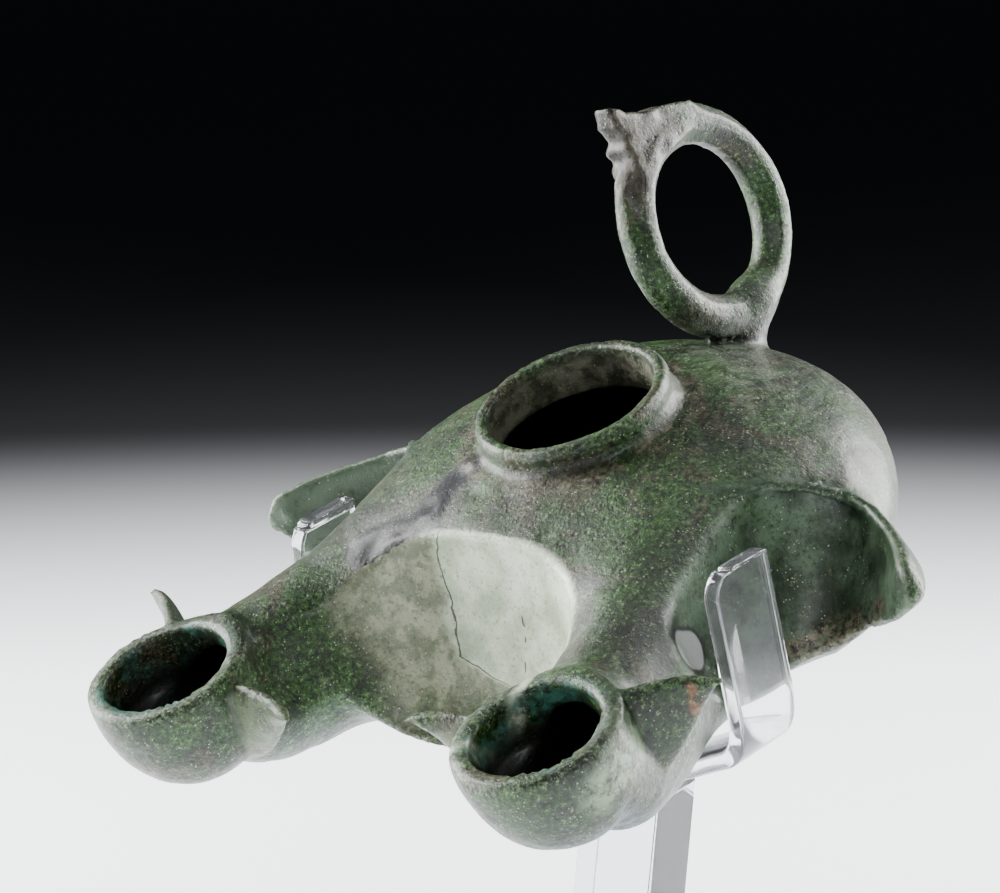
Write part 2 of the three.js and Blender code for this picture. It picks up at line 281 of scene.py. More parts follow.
# %% Horns
NOZZLE_TURN = math.radians(25)
HORN_REACH = 26.0
HORN_SETBACK = 9.0
HORN_HEIGHT = 16.0
INNER_HORN_DROP = 0.15
HORN_STATIONS = [
    (0.3, 0.55, 0.02, 1.12, 6.4), (0.5, 0.75, 0.03, 1.06, 4.8), (0.68, 0.9, 0.06, 0.85, 3.6),
    (0.84, 1, 0.11, 0.57, 2.8), (0.95, 1, 0.16, 0.36, 2.2), (1, 0.97, 0.19, 0.27, 1.6),
]
HORN_LIFTS = {1: (2.2, 1.0), -1: (0.0, 2.8)}
SHORT_HORN = 0.87
HORN_START = HORN_STATIONS[0][0]
INNER_HORN_SLIMMING = 0.4
HORN_TIP_ROUND = 1.5
horn_table = smooth_table(HORN_STATIONS, 60)


def horn(x, y, z, outward):
    dx = x - MOUTH[0]
    dy = np.abs(y) - MOUTH[1]
    along = dx * math.cos(NOZZLE_TURN) + dy * math.sin(NOZZLE_TURN)
    longest = HORN_REACH * np.where((outward < 0) & (y > 0), SHORT_HORN, 1.0)
    reach = outward * (dy * math.cos(NOZZLE_TURN) - dx * math.sin(NOZZLE_TURN)) / longest
    at = np.clip(reach, HORN_START, 1)
    back, top, low, thick = (np.interp(at, horn_table[0], row) for row in horn_table[1:])
    if outward < 0:
        top = top + INNER_HORN_DROP * (1 - at)
        low = top + (low - top) * (1 - INNER_HORN_SLIMMING * at**2)
    fore = along + back * HORN_SETBACK
    lift = np.where(y > 0, HORN_LIFTS[outward][1], HORN_LIFTS[outward][0]) * at**2
    up = z - MOUTH[2] - lift + HORN_HEIGHT * (top + low) / 2
    half = HORN_HEIGHT * (low - top) / 2
    past = (reach - at) * longest
    share = np.sqrt((fore / (thick / 2))**2 + (up / half)**2 + (past / HORN_TIP_ROUND)**2)
    return np.sqrt(fore**2 + up**2 + past**2) * (1 - 1 / np.maximum(share, LEAST_SHARE))


print("horn tip is", horn_table[4][-1], "mm thick")

# %% [markdown]
# ## Wings and hollows
#
# Wings and hollows are outlines seen from above that widen or narrow with height, so a row of
# knots and a list of heights describe each one. The outline is drawn through its knots as a
# smooth closed line and stored as reach against angle round a heart point. A second table
# says what share of that reach is left at each height.

# %% Wing and hollow outlines
WING = {
    "plan": [(-20, 26), (-14, 37), (-8, 46), (-4, 53), (0, 59), (4.5, 64.5), (9, 68),
             (12, 68.6), (17, 66), (22, 56), (24, 42), (16, 26), (-4, 18)],
    "heart": (4, 30),
    "slices": [(-18.4, 0.86), (-19, 0.91), (-21.5, 0.98), (-24, 0.99), (-26.5, 0.92),
               (-29, 0.82), (-32, 0.67), (-36, 0.52), (-40, 0.4)],
}
MIDDLE_HOLLOW = {
    "plan": [(29.5, 0), (30.5, 14), (35.5, 22), (46, 27.5), (58, 30.5), (76, 28), (92, 0),
             (76, -28), (58, -30.5), (46, -27.5), (35.5, -22), (30.5, -14)],
    "heart": (54, 0),
    "slices": [(6, 1.04), (-6, 1), (-14, 0.95), (-22, 0.85), (-30, 0.68), (-38, 0.44),
               (-46, 0.2)],
}
SIDE_HOLLOW = {
    "plan": [(-5.5, 46), (-1.5, 54), (4, 60.5), (9.5, 65), (12.5, 69), (20, 78), (34, 78),
             (44, 64), (42, 48), (35, 40), (27, 37.5), (17, 36.5), (8, 36.5), (0, 39.5)],
    "heart": (27, 50),
    "slices": [(6, 1.05), (-8, 1.03), (-14, 1), (-19, 0.97), (-24, 0.89), (-29, 0.76),
               (-34, 0.57), (-39, 0.33), (-43, 0.12)],
}
print("outlines have", [len(form["plan"]) for form in (WING, MIDDLE_HOLLOW, SIDE_HOLLOW)], "knots")

# %% [markdown]
# ### From an outline to a field
#
# A point's field is how far it lies beyond the reach in its own direction from the heart.
# Where the outline or its spread changes fast, that is more than the true distance, so it is
# divided by how steep the change is. The tables are made once, since the field is read often.

# %% Outlines as fields
def closed_curve(knots, steps=12):
    """A smooth closed line through the knots."""
    knots = np.asarray(knots, float)
    t = np.linspace(0, 1, steps, endpoint=False)[:, None]
    spans = []
    for k in range(len(knots)):
        a, b, c, d = (knots[(k + j - 1) % len(knots)] for j in range(4))
        spans.append(0.5 * (2 * b + (c - a) * t + (2 * a - 5 * b + 4 * c - d) * t**2
                            + (3 * b - a - 3 * c + d) * t**3))
    return np.concatenate(spans)


WHOLE_TURN = np.arange(361)


def form_tables(form):
    arms = closed_curve(form["plan"]) - np.array(form["heart"], float)
    angle = np.arctan2(arms[:, 1], arms[:, 0])
    order = np.argsort(angle)
    reach = np.interp(np.linspace(-math.pi, math.pi, len(WHOLE_TURN)), angle[order],
                      np.hypot(arms[:, 0], arms[:, 1])[order], period=2 * math.pi)
    height = smooth_table(sorted(form["slices"]))
    return reach, np.gradient(reach, math.radians(1)), height, np.gradient(height[1], height[0])


FORM_TABLES = {id(form): form_tables(form) for form in (WING, MIDDLE_HOLLOW, SIDE_HOLLOW)}


def outlined_form(form, x, y, z):
    reach, bend, height, lean = FORM_TABLES[id(form)]
    dx = x - form["heart"][0]
    dy = y - form["heart"][1]
    out = np.maximum(np.hypot(dx, dy), 0.5)
    angle = np.degrees(np.arctan2(dy, dx)) + 180
    arm = np.interp(angle, WHOLE_TURN, reach)
    spread = np.interp(z, height[0], height[1])
    side = np.interp(angle, WHOLE_TURN, bend) * spread / out
    slope = arm * np.interp(z, height[0], lean)
    return (out - arm * spread) / np.sqrt(1 + side**2 + slope**2)


print("wing tip is", round(float(FORM_TABLES[id(WING)][0].max()), 1), "mm from its heart")

# %% [markdown]
# ## Flat outlines
#
# Some parts have sharp corners, such as a torn edge or a turned rim. A flat outline with
# straight edges suits them: its field is the distance to the nearest edge, with a minus sign
# inside. Given thickness it becomes a plate, and turned round an axis it becomes a ring.

# %% A flat outline as a field
def outline_distance(u, v, corners):
    corners = np.asarray(corners, float)
    best = np.full(u.shape, 1e9)
    inside = np.zeros(u.shape, bool)
    for (ax, ay), (bx, by) in zip(corners, np.roll(corners, -1, 0)):
        ex, ey = bx - ax, by - ay
        t = np.clip(((u - ax) * ex + (v - ay) * ey) / (ex * ex + ey * ey), 0, 1)
        best = np.minimum(best, (u - ax - t * ex)**2 + (v - ay - t * ey)**2)
        crosses = ((ay > v) != (by > v)) & (u < ex * (v - ay) / (ey if ey else 1e-9) + ax)
        inside ^= crosses
    return np.sqrt(best) * np.where(inside, -1, 1)


print("a point beside a unit square is",
      float(outline_distance(np.array([2.0]), np.array([0.5]), [(0, 0), (1, 0), (1, 1), (0, 1)])[0]),
      "away from it")

# %% [markdown]
# ## The ring handle and the collar
#
# The ring leans to one side, and its section is a square with all four corners bevelled away,
# which leaves it nearly eight-sided. A root joins it to the dome, slanting forward as it goes
# down. On the ring stands the torn stump of a leaf that once shaded the lamp. The filler
# collar is a low flared rim round the hole where the oil was poured in.

# %% Ring, leaf root and collar
RING_CENTRE = np.array([-44.1, 0.0, 5.7])
RING_RADIUS = 16.5
RING_THICKNESS = 3.9
RING_TURN = math.radians(3)
RING_LEAN = math.radians(-14.5)
ring_across = np.array([math.cos(RING_TURN), math.sin(RING_TURN), 0])
ring_side = np.array([-math.sin(RING_TURN), math.cos(RING_TURN), 0])
ring_up = np.array([0, 0, math.cos(RING_LEAN)]) + ring_side * math.sin(RING_LEAN)
ring_normal = np.cross(ring_across, ring_up)
LEAF_ROOT = [(9.5, 13), (10.6, 16.5), (9.2, 18), (9.7, 20), (8, 21.5), (8.9, 24), (7.6, 27.3),
             (4.8, 24.4), (2, 22.6), (-3, 21), (-9, 18.2), (-11, 14.5), (0, 14)]
LEAF_HALF = 3.3
LEAF_TAPER = 0.12
LEAF_FOOT = 16
RING_BEVEL = 0.76
RING_TRIM = 0.3
RING_ROOT = [(0, 5, 4.4), (4, 6, 4.8), (8, 7.6, 6.4), (12, 9, 8)]
ROOT_FORWARD = 0.8
ROOT_SIDEWAYS = 0.5
ROOT_END = 4.0


def ring_handle(x, y, z):
    p = np.stack([x, y, z], -1) - RING_CENTRE
    u, v, w = p @ ring_across, p @ ring_up, p @ ring_normal
    across_tube = np.abs(np.hypot(u, v) - RING_RADIUS)
    bevel = (across_tube + np.abs(w)) * RING_BEVEL
    tube = np.maximum(bevel, (across_tube**4 + w**4)**0.25) - RING_THICKNESS + RING_TRIM
    thick = LEAF_HALF - LEAF_TAPER * np.maximum(v - LEAF_FOOT, 0)
    leaf = cut_soft(outline_distance(u, v, LEAF_ROOT), thick - np.abs(w), 0.8)
    tube = join_soft(tube, leaf, 0.8)
    low = RING_CENTRE - ring_up * RING_RADIUS
    drop = low[2] - z
    at = np.clip(drop, 0, RING_ROOT[-1][0])
    table = np.array(RING_ROOT, float).T
    long = np.interp(at, table[0], table[1])
    wide = np.interp(at, table[0], table[2])
    dx = (x - low[0] - ROOT_FORWARD * at) / long
    dy = (y - low[1] + ROOT_SIDEWAYS * at) / wide
    share = np.sqrt(dx**2 + dy**2 + ((drop - at) / ROOT_END)**2)
    return join_soft(tube, (share - 1) * np.minimum(long, wide), 2.5)


FILLER_RADIUS = 14.2
COLLAR_OUTLINE = [(0, -12), (17.4, -12), (17.4, -5.2), (16.5, -3.6), (16.7, -1.2), (16.1, 0), (0, 0)]


def collar(x, y, z):
    return outline_distance(np.hypot(x, y), z, COLLAR_OUTLINE)


print("finger hole is", 2 * (RING_RADIUS - RING_THICKNESS), "mm across")

# %% [markdown]
# ## The ridge along each wing
#
# A raised cord of metal runs from the dome over each wing to its tip. It is a chain of short
# rounded rods, each with a middle line and a radius that changes along it. Small parts like
# this are only worked out near where they are, because everywhere else they change nothing.

# %% Wing ridge
def nearby(where, shape, *points):
    """A shape's field, worked out only for the points picked by `where`."""
    field = np.full(points[0].shape, 30.0)
    field[where] = shape(*(p[where] for p in points))
    return field


WING_RIDGE = [(9, 31, -9.3, 0.3), (6.5, 34.5, -10.6, 0.6), (2.5, 38, -12.2, 0.7),
              (-1.2, 41.5, -14.6, 0.8), (-4.6, 46, -18.4, 0.9), (-3.2, 51, -19.4, 0.9),
              (0.6, 57, -20, 1.0), (4.8, 61.6, -20.4, 1.1), (9, 64.6, -21, 1.3),
              (11, 65, -23, 1.4), (10.4, 63.6, -24.6, 1.0)]


def wing_ridge(x, y, z):
    best = np.full(x.shape, 30.0)
    for a, b in zip(np.array(WING_RIDGE)[:-1], np.array(WING_RIDGE)[1:]):
        run = b[:3] - a[:3]
        p = np.stack([x, np.abs(y), z], -1) - a[:3]
        t = np.clip(p @ run / (run @ run), 0, 1)
        away = np.linalg.norm(p - t[..., None] * run, axis=-1)
        best = np.minimum(best, away - a[3] - t * (b[3] - a[3]))
    return best


print("wing ridge is", 2 * max(knot[3] for knot in WING_RIDGE), "mm thick at most")

# %% [markdown]
# ## The whole casting as one field
#
# The order is the founder's: body, necks and wings are joined into a shell, the three hollows
# are pressed in, and the small parts are added to the outside. The oil space is the same
# shell pulled in by the thickness of the metal. The filler hole and the two wick holes open
# it to the air. The last number in each join or cut is its fillet in millimetres.

# %% Lamp field
WING_TOP = -18.2
WING_UNDERSIDE = -40
WICK_DEPTH = 9
WICK_RISE = 8
FILLER_DEPTH = 16


def all_hollows(x, y, z):
    middle = outlined_form(MIDDLE_HOLLOW, x, y, z)
    side = outlined_form(SIDE_HOLLOW, x, np.abs(y), z)
    return middle, side


def lamp_field(x, y, z):
    far_side = np.abs(y)
    low_wing = cut_soft(outlined_form(WING, x, far_side, z), WING_TOP - z, 1.5)
    low_wing = cut_soft(low_wing, z - WING_UNDERSIDE, 1.5)
    shell = join_soft(dome(x, y, z), neck(x, y, z), 7.0)
    shell = join_soft(shell, low_wing, 3.0)
    middle, side = all_hollows(x, y, z)
    shell = cut_soft(cut_soft(shell, middle, 1.1), side, 1.1)
    wing_near = (np.abs(x - 1) < 18) & (np.abs(far_side - 49) < 24) & (np.abs(z + 16) < 13)
    shell = join_soft(shell, nearby(wing_near, wing_ridge, x, y, z), 0.7)
    head_near = (np.abs(x - MOUTH[0]) < 19) & (np.abs(far_side - MOUTH[1]) < 19) & (z < -4)
    shell = join_soft(shell, nearby(head_near, head, x, y, z), 4.5)
    horn_near = (np.abs(x - 60) < 24) & (np.abs(far_side - 38) < 30) & (np.abs(z + 20) < 16)
    for outward in (1, -1):
        shell = join_soft(shell, nearby(horn_near, lambda *p: horn(*p, outward), x, y, z), 1.0)
    base_near = (np.abs(x - DOME_CENTRE_X) < 25) & (far_side < 25) & (z < -36)
    shell = join_soft(shell, nearby(base_near, base_ring, x, y, z), 1.2)
    ring_near = (x < -16) & (far_side < 20) & (z > -26)
    shell = join_soft(shell, nearby(ring_near, ring_handle, x, y, z), 2.0)
    collar_near = (np.abs(x) < 21) & (far_side < 21) & (z > -14)
    shell = join_soft(shell, nearby(collar_near, collar, x, y, z), 0.8)
    oil = join_soft(dome(x, y, z, WALL), neck(x, y, z, WALL), 6.0)
    oil = cut_soft(cut_soft(oil, middle - WALL, 2.0), side - WALL, 2.0)
    wick = np.hypot(x - MOUTH[0], far_side - MOUTH[1]) - MOUTH_RADIUS
    wick = cut_soft(wick, z - MOUTH[2] + WICK_DEPTH, 0.5)
    wick = cut_soft(wick, MOUTH[2] + WICK_RISE - z, 0.5)
    filler = cut_soft(np.hypot(x, y) - FILLER_RADIUS, z + FILLER_DEPTH, 0.5)
    room = join_soft(join_soft(oil, cup(x, y, z, WALL), 1.5), wick, 1.0)
    return cut_soft(shell, join_soft(room, filler, 1.0), 0.5)


middle_of_wall = np.array([[-30.0], [20.0], [DOME_CENTRE_Z]])
print("field inside the dome's wall:", round(float(lamp_field(*middle_of_wall)[0]), 2), "mm")

# %% [markdown]
# ## Pulling a skin over the field
#
# A grid of points is laid over the lamp. Wherever the field changes sign between neighbours,
# the skin passes. Each grid cell that the skin crosses gets one corner of the mesh, in the
# middle of the crossings, and each crossed grid edge gets one four-sided face. This is known
# as surface nets. Its faces are even and smooth, which suits a worn casting better than a
# remesh of the faceted solid.

# %% Surface nets
def skin_over(field, low, step):
    inside = field < 0
    count = sum(inside[i:inside.shape[0] - 1 + i, j:inside.shape[1] - 1 + j,
                       k:inside.shape[2] - 1 + k].astype(np.int8)
                for i in (0, 1) for j in (0, 1) for k in (0, 1))
    cells = np.argwhere((count > 0) & (count < 8))
    number = np.full(count.shape, -1, np.int32)
    number[tuple(cells.T)] = np.arange(len(cells))
    total = np.zeros((len(cells), 3))
    hits = np.zeros(len(cells))
    faces = []
    for axis in range(3):
        others = [a for a in range(3) if a != axis]
        for i in (0, 1):
            for j in (0, 1):
                start = cells.copy()
                start[:, others[0]] += i
                start[:, others[1]] += j
                end = start.copy()
                end[:, axis] += 1
                a = field[tuple(start.T)]
                b = field[tuple(end.T)]
                cross = (a < 0) != (b < 0)
                share = np.where(cross, a / np.where(cross, a - b, 1), 0)
                point = start.astype(float)
                point[:, axis] += share
                total += point * cross[:, None]
                hits += cross
        here = [slice(None)] * 3
        ahead = [slice(None)] * 3
        here[axis] = slice(0, -1)
        ahead[axis] = slice(1, None)
        flips = inside[tuple(here)] != inside[tuple(ahead)]
        edges = np.argwhere(flips)
        edges = edges[(edges[:, others[0]] > 0) & (edges[:, others[1]] > 0)]
        ring = []
        for i, j in ((1, 1), (0, 1), (0, 0), (1, 0)):
            cell = edges.copy()
            cell[:, others[0]] -= i
            cell[:, others[1]] -= j
            ring.append(number[tuple(cell.T)])
        quad = np.stack(ring, 1)
        outward = inside[tuple(edges.T)] == (axis != 1)
        faces.append(np.where(outward[:, None], quad, quad[:, ::-1]))
    points = low + (total / hits[:, None]) * step
    return points, np.concatenate(faces)


test_ticks = np.arange(-3.0, 4.0)
test_grid = np.meshgrid(test_ticks, test_ticks, test_ticks, indexing="ij")
test_ball = np.sqrt(sum(g**2 for g in test_grid)) - 2.1
print("a test ball gets", len(skin_over(test_ball, -3.0, 1.0)[1]), "faces")

# %% [markdown]
# ## Sliding the corners onto the true skin
#
# The middle of the crossings is only near the skin. The field says how far off each corner is
# and its slope says which way to go, so two short slides bring the corner onto the skin. The
# slope comes from reading the field a little to either side, along each axis.

# %% Slope and slide
LEAST_SLOPE = 0.2
LONGEST_SLIDE = 0.6


def slope_of(field, points, reach=0.15):
    """Which way the field grows at each point, by small steps each way."""
    rows = []
    for axis in range(3):
        shift = np.zeros(3)
        shift[axis] = reach
        rows.append(field(*(points + shift).T) - field(*(points - shift).T))
    return np.stack(rows, 1) / (2 * reach)


def onto_skin(field, points, rounds=2):
    for _ in range(rounds):
        slope = slope_of(field, points)
        size = np.maximum((slope**2).sum(1), LEAST_SLOPE)
        slide = np.clip(field(*points.T) / size, -LONGEST_SLIDE, LONGEST_SLIDE)
        points = points - slope * slide[:, None]
    return points


beside_dome = np.array([[60.0, 0.0, DOME_CENTRE_Z]])
print("beside the dome its field grows by", np.round(slope_of(dome, beside_dome)[0], 2))

# %% [markdown]
# ## The lamp's skin
#
# The grid is as coarse as the thinnest part allows: a horn's tip is 1.6 mm thick, so steps of
# 0.88 mm still put corners on both of its sides.

# %% Lamp skin
GRID_STEP = 0.88
grid_low = np.array([-67.0, -72.0, -52.0])
grid_high = np.array([85.5, 72.0, 33.0])
ticks = [np.arange(grid_low[a], grid_high[a], GRID_STEP) for a in range(3)]
gx, gy, gz = np.meshgrid(*ticks, indexing="ij")
field_values = lamp_field(gx.ravel(), gy.ravel(), gz.ravel()).reshape(gx.shape)
skin_points, skin_faces = skin_over(field_values, grid_low, GRID_STEP)
skin_points = onto_skin(lamp_field, skin_points)
print("lamp skin:", len(skin_points), "corners,", len(skin_faces), "faces")

# %% [markdown]
# ## Corrosion that you could feel
#
# Two thousand years in the ground leave bronze with shallow swellings, pits and flakes of
# crust. Anything wider than about two millimetres is moved in the mesh itself, so that it
# shows on the outline and in the finished mesh. All the random heights are read from one
# block of numbers, drawn from a fixed seed, with smooth steps between neighbours.

# %% Random relief
BLOCK_SIZE = 48
PIT_LEVEL = 0.35
PIT_SPAN = 0.4
random_block = np.random.default_rng(29).random((BLOCK_SIZE, BLOCK_SIZE, BLOCK_SIZE))


def swelling(points, size, shift=0.0):
    """A smooth random height from -1 to 1, with bumps about `size` millimetres apart."""
    p = points / size + shift
    cell = np.floor(p).astype(int)
    t = p - cell
    t = t * t * (3 - 2 * t)
    total = np.zeros(len(points))
    for i in (0, 1):
        for j in (0, 1):
            for k in (0, 1):
                weight = np.abs(1 - i - t[:, 0]) * np.abs(1 - j - t[:, 1]) * np.abs(1 - k - t[:, 2])
                corner = (cell + (i, j, k)) % BLOCK_SIZE
                total += weight * random_block[tuple(corner.T)]
    return total * 2 - 1


def pitting(points, size, depth):
    """Round pits where the random field runs high, flat in between."""
    return -depth * np.clip(swelling(points, size, 7.3) - PIT_LEVEL, 0, PIT_SPAN) / PIT_SPAN


skin_normals = slope_of(lamp_field, skin_points)
skin_normals /= np.maximum(np.linalg.norm(skin_normals, axis=1, keepdims=True), 1e-6)
print("heights run from", np.round(swelling(skin_points, 9.0).min(), 2), "to",
      np.round(swelling(skin_points, 9.0).max(), 2))

# %% [markdown]
# ## Where each finish lies
#
# The patina isn't the same everywhere: the pressed hollows are smooth, the mouths are
# turquoise, the inside is painted dark as shade, and a black crust runs down from the collar.
# Each of these is stored on the mesh as a number from 0 to 1 at every corner, worked out from
# the same fields that made the shape. The material reads the numbers by name. A mark that is
# found in one place only follows a short path of points, given below in lamp millimetres.

# %% Paths of the single marks
def soft_step(value, low, high):
    t = np.clip((value - low) / (high - low), 0, 1)
    return t * t * (3 - 2 * t)


def along_path(points, path, width):
    """1 on a path of lamp points, falling to 0 at `width` millimetres from it."""
    best = np.full(len(points), 1e9)
    for a, b in zip(np.array(path, float)[:-1], np.array(path, float)[1:]):
        run = b - a
        t = np.clip((points - a) @ run / (run @ run), 0, 1)
        best = np.minimum(best, np.linalg.norm(points - a - t[:, None] * run, axis=1))
    return soft_step(width - best, 0, width * 0.6)


CRUST = [(15, -12, -5), (21, -13.5, -6), (26, -14.5, -7), (29, -18.5, -8.7), (33, -24, -10.3)]
WING_CRUST = [(15.3, 43, -35.4), (10, 46.3, -35.4), (8, 51.5, -33.2), (9.5, 58, -29.4)]
GREY_PATCH = [(33, 40, -21.5), (36, 41.3, -19)]
RUST_THREAD = [(51, 55.5, -12.4), (51.9, 55.3, -17)]
# a pale patch on the dome, a painted sheen
PAINTED_SHEEN_AREA = [(-30, 3, -9), (-26, 14, -9.6), (-16, 26, -10)]
CUP_BLOOM = [(70, 49, -16), (63, 51, -15)]
print("the crust covers", int((along_path(skin_points, CRUST, 4.2) > 0).sum()), "corners")

# %% [markdown]
# ### One number per corner for each finish
#
# A corner is on a pressed hollow where that hollow's field is near zero, and inside where it
# lies in the oil space. A little noise keeps the limits of the hollows from looking ruled.

# %% Finish masks
x, y, z = skin_points.T
middle_gap, side_gap = all_hollows(x, y, z)
head_out = np.hypot(x - MOUTH[0], np.abs(y) - MOUTH[1])
in_cup = (head_out < 12.4) & (z > -30.5) & (z < -9.0) & (cup(x, y, z) < -1.6)
inside = (dome(x, y, z, WALL) < 0.5) | (neck(x, y, z, WALL) < 0.5)
wobble = swelling(skin_points, 5.0, 3.1)
on_middle = soft_step(1.6 - np.abs(middle_gap) + 0.3 * wobble, 0.2, 1.3) * (z < -5)
on_side = soft_step(1.6 - np.abs(side_gap) + 0.3 * wobble, 0.2, 1.3) * (z < -8)
far_front = soft_step(x, 37, 47) * soft_step(-y, 10, 20)
under_rim = soft_step(-z, 3.2, 4.6)
on_horn = soft_step(0.9 - np.abs(horn(x, y, z, -1)), 0, 0.5)
masks = {
    "niche_middle": on_middle * soft_step(z, -37, -31) * (1 - far_front),
    "niche_side": on_side,
    "niche_far": on_side * (y < 0) * soft_step(z, -27, -20),
    "mouth": in_cup * 1.0,
    # inner: the inside is painted dark as shade, darker further down
    "inner": inside * soft_step(-z, 6, 15) * ~in_cup * (1 - np.maximum(on_middle, on_side))
             + in_cup * soft_step(-z, 13.5, 17),
    "bore": (np.hypot(x, y) < FILLER_RADIUS + 1) * soft_step(-z, 0.5, 2.5),
    "crust": along_path(skin_points, CRUST, 4.2),
    "collar_crust": soft_step(3.2 - np.abs(np.hypot(x, y) - 18.6), 0, 2.4) * under_rim,
    "wing_crust": along_path(skin_points, WING_CRUST, 3.6),
    "grey_patch": along_path(skin_points, GREY_PATCH, 4.4),
    "rust": along_path(skin_points, RUST_THREAD, 0.9),
    "ridge": along_path(np.stack([x, np.abs(y), z], 1), np.array(WING_RIDGE)[:, :3], 1.9),
    "painted_sheen": along_path(skin_points, PAINTED_SHEEN_AREA, 9.0),
    "cup_pale": along_path(skin_points, CUP_BLOOM, 6.5),
    "horn_pale": on_horn * soft_step(-z, 11.5, 13) * (in_cup < 0.5),
    "leaf_break": soft_step(z, 17.5, 20) * soft_step(x, -51, -46),
}
print({name: round(float(value.mean()), 3) for name, value in masks.items()})

# %% [markdown]
# ## The cracks in the middle hollow
#
# A long crack runs down the middle hollow and bends along its floor, and a short one lies
# beside it. For each, every corner keeps how many millimetres it lies to one side of the
# crack, so the material can draw the line much finer than the mesh is. A second mask ends it.

# %% Where the cracks run
def crack_distance(points, path):
    """Signed distance in y from a crack that runs down the niche, and a mask that ends it."""
    path = np.array(path, float)
    line = np.interp(-points[:, 2], -path[:, 2], path[:, 1])
    span = (points[:, 2] < path[0, 2] + 0.5) & (points[:, 2] > path[-1, 2] - 0.5)
    return points[:, 1] - line, span * on_middle


LONG_CRACK = [(30.2, -9.4, -8), (31.3, -8.9, -14.5), (32.7, -9.2, -20.5), (33.5, -8.9, -24.3),
              (34.2, -7.2, -27.2), (34.8, -1.3, -29.6), (36, 8, -31.5)]
SHORT_CRACK = [(32.4, 5.8, -20.5), (34.1, 5.9, -27.4)]
for crack_name, path in (("long_crack", LONG_CRACK), ("short_crack", SHORT_CRACK)):
    gap_there, there = crack_distance(skin_points, path)
    masks[crack_name] = gap_there
    masks[crack_name + "_span"] = there
print("long crack is", round(-8 - LONG_CRACK[-1][2], 1), "mm deep down the niche")

# %% [markdown]
# ## Lifting and pitting the skin
#
# Wide swellings come first, then smaller ones and pits. The pressed hollows stay calmer than
# the rest, and the crusts stand on the surface as flakes. Each corner moves straight out of
# the skin or into it, by two thirds of a millimetre at most.

# %% Lift and pit the skin
rough = 0.26 * swelling(skin_points, 21.0) + 0.11 * swelling(skin_points, 7.0, 1.7)
rough += 0.07 * swelling(skin_points, 2.6, 5.2) + pitting(skin_points, 3.2, 0.16)
calm = np.maximum(masks["niche_middle"], masks["niche_side"] * 0.6)
rough *= 1 - 0.6 * calm
flakes = 0.5 + 0.5 * swelling(skin_points, 2.4, 9.0)
crusted = masks["crust"] + 0.8 * masks["wing_crust"] + 0.5 * masks["collar_crust"]
rough += 0.55 * crusted * flakes + 0.7 * masks["leaf_break"] * (flakes - 0.5)
worn_points = skin_points + skin_normals * rough[:, None]
print("relief runs from", round(float(rough.min()), 2), "to", round(float(rough.max()), 2), "mm")

# %% [markdown]
# ## The lamp as one Blender mesh
#
# Numpy arrays go straight into a mesh with foreach_set, which is far faster than adding
# corners one by one. The lamp then takes the place of the faceted solid of the same name.

# %% Lamp mesh
def make_mesh(name, points, quads):
    mesh = bpy.data.meshes.new(name)
    mesh.vertices.add(len(points))
    mesh.vertices.foreach_set("co", np.asarray(points, np.float32).ravel())
    mesh.loops.add(quads.size)
    mesh.loops.foreach_set("vertex_index", quads.astype(np.int32).ravel())
    mesh.polygons.add(len(quads))
    mesh.polygons.foreach_set("loop_start", np.arange(0, quads.size, 4, dtype=np.int32))
    mesh.update(calc_edges=True)
    mesh.validate()
    mesh.shade_smooth()
    piece = bpy.data.objects.new(name, mesh)
    bpy.context.scene.collection.objects.link(piece)
    return piece


lamp = make_mesh("lamp_casting", on_display(worn_points), skin_faces)
for mask_name, values in masks.items():
    layer = lamp.data.attributes.new(mask_name, "FLOAT", "POINT")
    layer.data.foreach_set("value", values.astype(np.float32))
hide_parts("lamp")
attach(lamp, "root")
print("lamp mesh has", len(lamp.data.polygons), "faces")

# %% [markdown]
# ## How sharp each spot is
#
# Edges that stick out are painted paler, partly as wear from handling and cleaning and partly
# as a painted highlight. To find them, each corner is compared with the average of its
# neighbours: it stands proud of them where the form is sharp. In a crease it lies below them,
# and there a painted shade darkens the crease.

# %% Sharpness of the skin
pairs = np.zeros(2 * len(lamp.data.edges), np.int32)
lamp.data.edges.foreach_get("vertices", pairs)
pairs = pairs.reshape(-1, 2)
neighbour_sum = np.zeros_like(worn_points)
neighbour_count = np.zeros(len(worn_points))
for a, b in ((0, 1), (1, 0)):
    np.add.at(neighbour_sum, pairs[:, a], skin_points[pairs[:, b]])
    np.add.at(neighbour_count, pairs[:, a], 1)
stand_out = ((skin_points - neighbour_sum / neighbour_count[:, None]) * skin_normals).sum(1)
for _ in range(3):
    blurred = np.zeros(len(worn_points))
    for a, b in ((0, 1), (1, 0)):
        np.add.at(blurred, pairs[:, a], stand_out[pairs[:, b]])
    stand_out = 0.5 * stand_out + 0.5 * blurred / neighbour_count
# paler sharp edges: partly wear, partly a painted highlight
layer = lamp.data.attributes.new("worn_and_highlit_edge", "FLOAT", "POINT")
layer.data.foreach_set("value", soft_step(stand_out, 0.03, 0.12).astype(np.float32))
# painted shade: corners in creases are darkened as shade
layer = lamp.data.attributes.new("painted_crease_shade", "FLOAT", "POINT")
layer.data.foreach_set("value", soft_step(-stand_out, 0.02, 0.1).astype(np.float32))
print("rubbed share:", round(float((stand_out > 0.08).mean()), 3))

# %% [markdown]
# ## Building a material from nodes
#
# A material here is a small network. One helper adds a node, fills in its settings and plugs
# in its inputs: a value that is a socket is linked, and a plain number is written in. An input
# goes by its name or, where a node has several of one name, by its place, such as i6. Colours
# are picked as sRGB hex values, as in any paint program, and turned to the linear values that
# light is worked out in.

# %% Node and colour helpers
def linear(hex_colour):
    parts = [int(hex_colour[i:i + 2], 16) / 255 for i in (1, 3, 5)]
    return [c / 12.92 if c <= 0.04045 else ((c + 0.055) / 1.055)**2.4 for c in parts] + [1.0]


